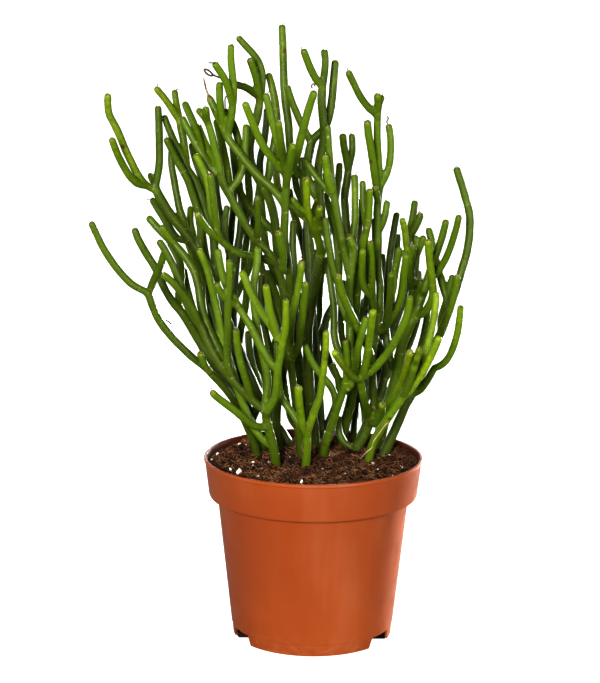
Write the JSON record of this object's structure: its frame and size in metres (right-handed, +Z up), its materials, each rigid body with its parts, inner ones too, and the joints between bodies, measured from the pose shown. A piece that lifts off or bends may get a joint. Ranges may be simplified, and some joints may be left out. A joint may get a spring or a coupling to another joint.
{
  "type": "potted euphorbia plant",
  "caption": "Bushy leafless succulent of upright, forking pencil-thick green stems, standing in dark soil in a round brown plastic nursery pot with a flared collar.",
  "frame": {"origin": "on the ground under the middle of the pot, on the underside of the floor's round pad", "axes": "+Z up through the middle of the pot; -Y towards the viewer of the picture; +X to the viewer's right"},
  "size_m": [0.2912, 0.2326, 0.4699],
  "materials": {
    "pot_plastic": "satin terracotta-brown injection-moulded plastic",
    "potting_soil": "loose brown peat and coir with white perlite",
    "green_stem": "smooth, slightly waxy green bark with small brown scars"
  },
  "bodies": {
    "root": {"pot": "pot_plastic", "soil": "potting_soil", "stem_front_centre": "green_stem", "stem_front_left": "green_stem", "stem_outer_left": "green_stem", "stem_rear_left": "green_stem", "stem_crown_left": "green_stem", "stem_upper_left": "green_stem", "stem_crown_centre_left": "green_stem", "stem_rear_centre_left": "green_stem", "stem_crown_centre": "green_stem", "stem_centre_right": "green_stem", "stem_front_right": "green_stem", "stem_crown_right": "green_stem", "stem_small_right": "green_stem", "stem_outer_right": "green_stem", "stem_middle_right": "green_stem", "stem_back_left": "green_stem", "stem_back_centre": "green_stem", "stem_back_right": "green_stem"}
  },
  "joints": []
}
